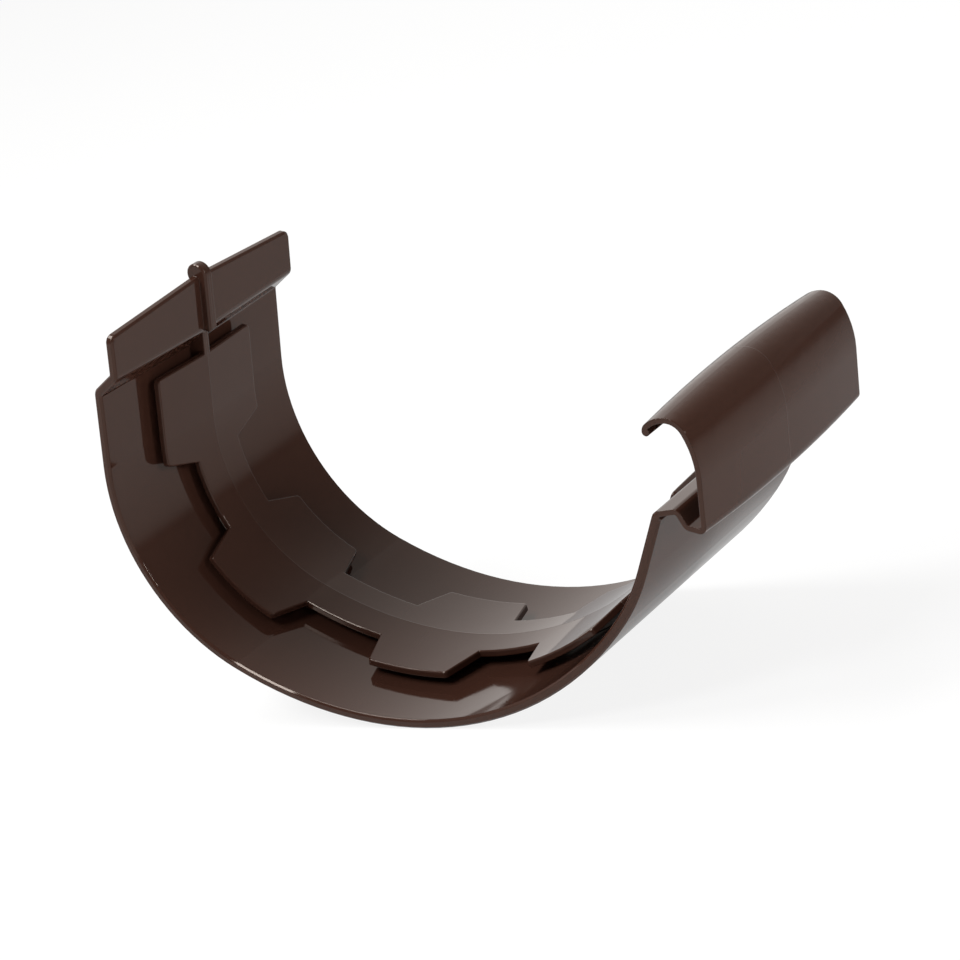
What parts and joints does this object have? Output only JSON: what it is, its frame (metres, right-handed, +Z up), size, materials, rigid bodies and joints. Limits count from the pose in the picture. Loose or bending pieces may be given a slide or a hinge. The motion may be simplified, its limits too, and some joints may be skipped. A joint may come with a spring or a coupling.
{
  "type": "gutter connector",
  "caption": "Moulded half-round gutter connector: a short trough with a rear lip, a castellated holding plate inside and a hook for the gutter's bead.",
  "frame": {"origin": "middle of the part's box in plan, on the level floor that it lies on", "axes": "+X across the gutter from the wall side to the street side, +Y along the gutter, +Z up as it lies unheld on its round bottom"},
  "size_m": [0.173, 0.069, 0.1075],
  "materials": {
    "moulded_plastic": "dark brown high gloss moulding"
  },
  "bodies": {
    "root": {"gutter_connector": "moulded_plastic"}
  },
  "joints": []
}
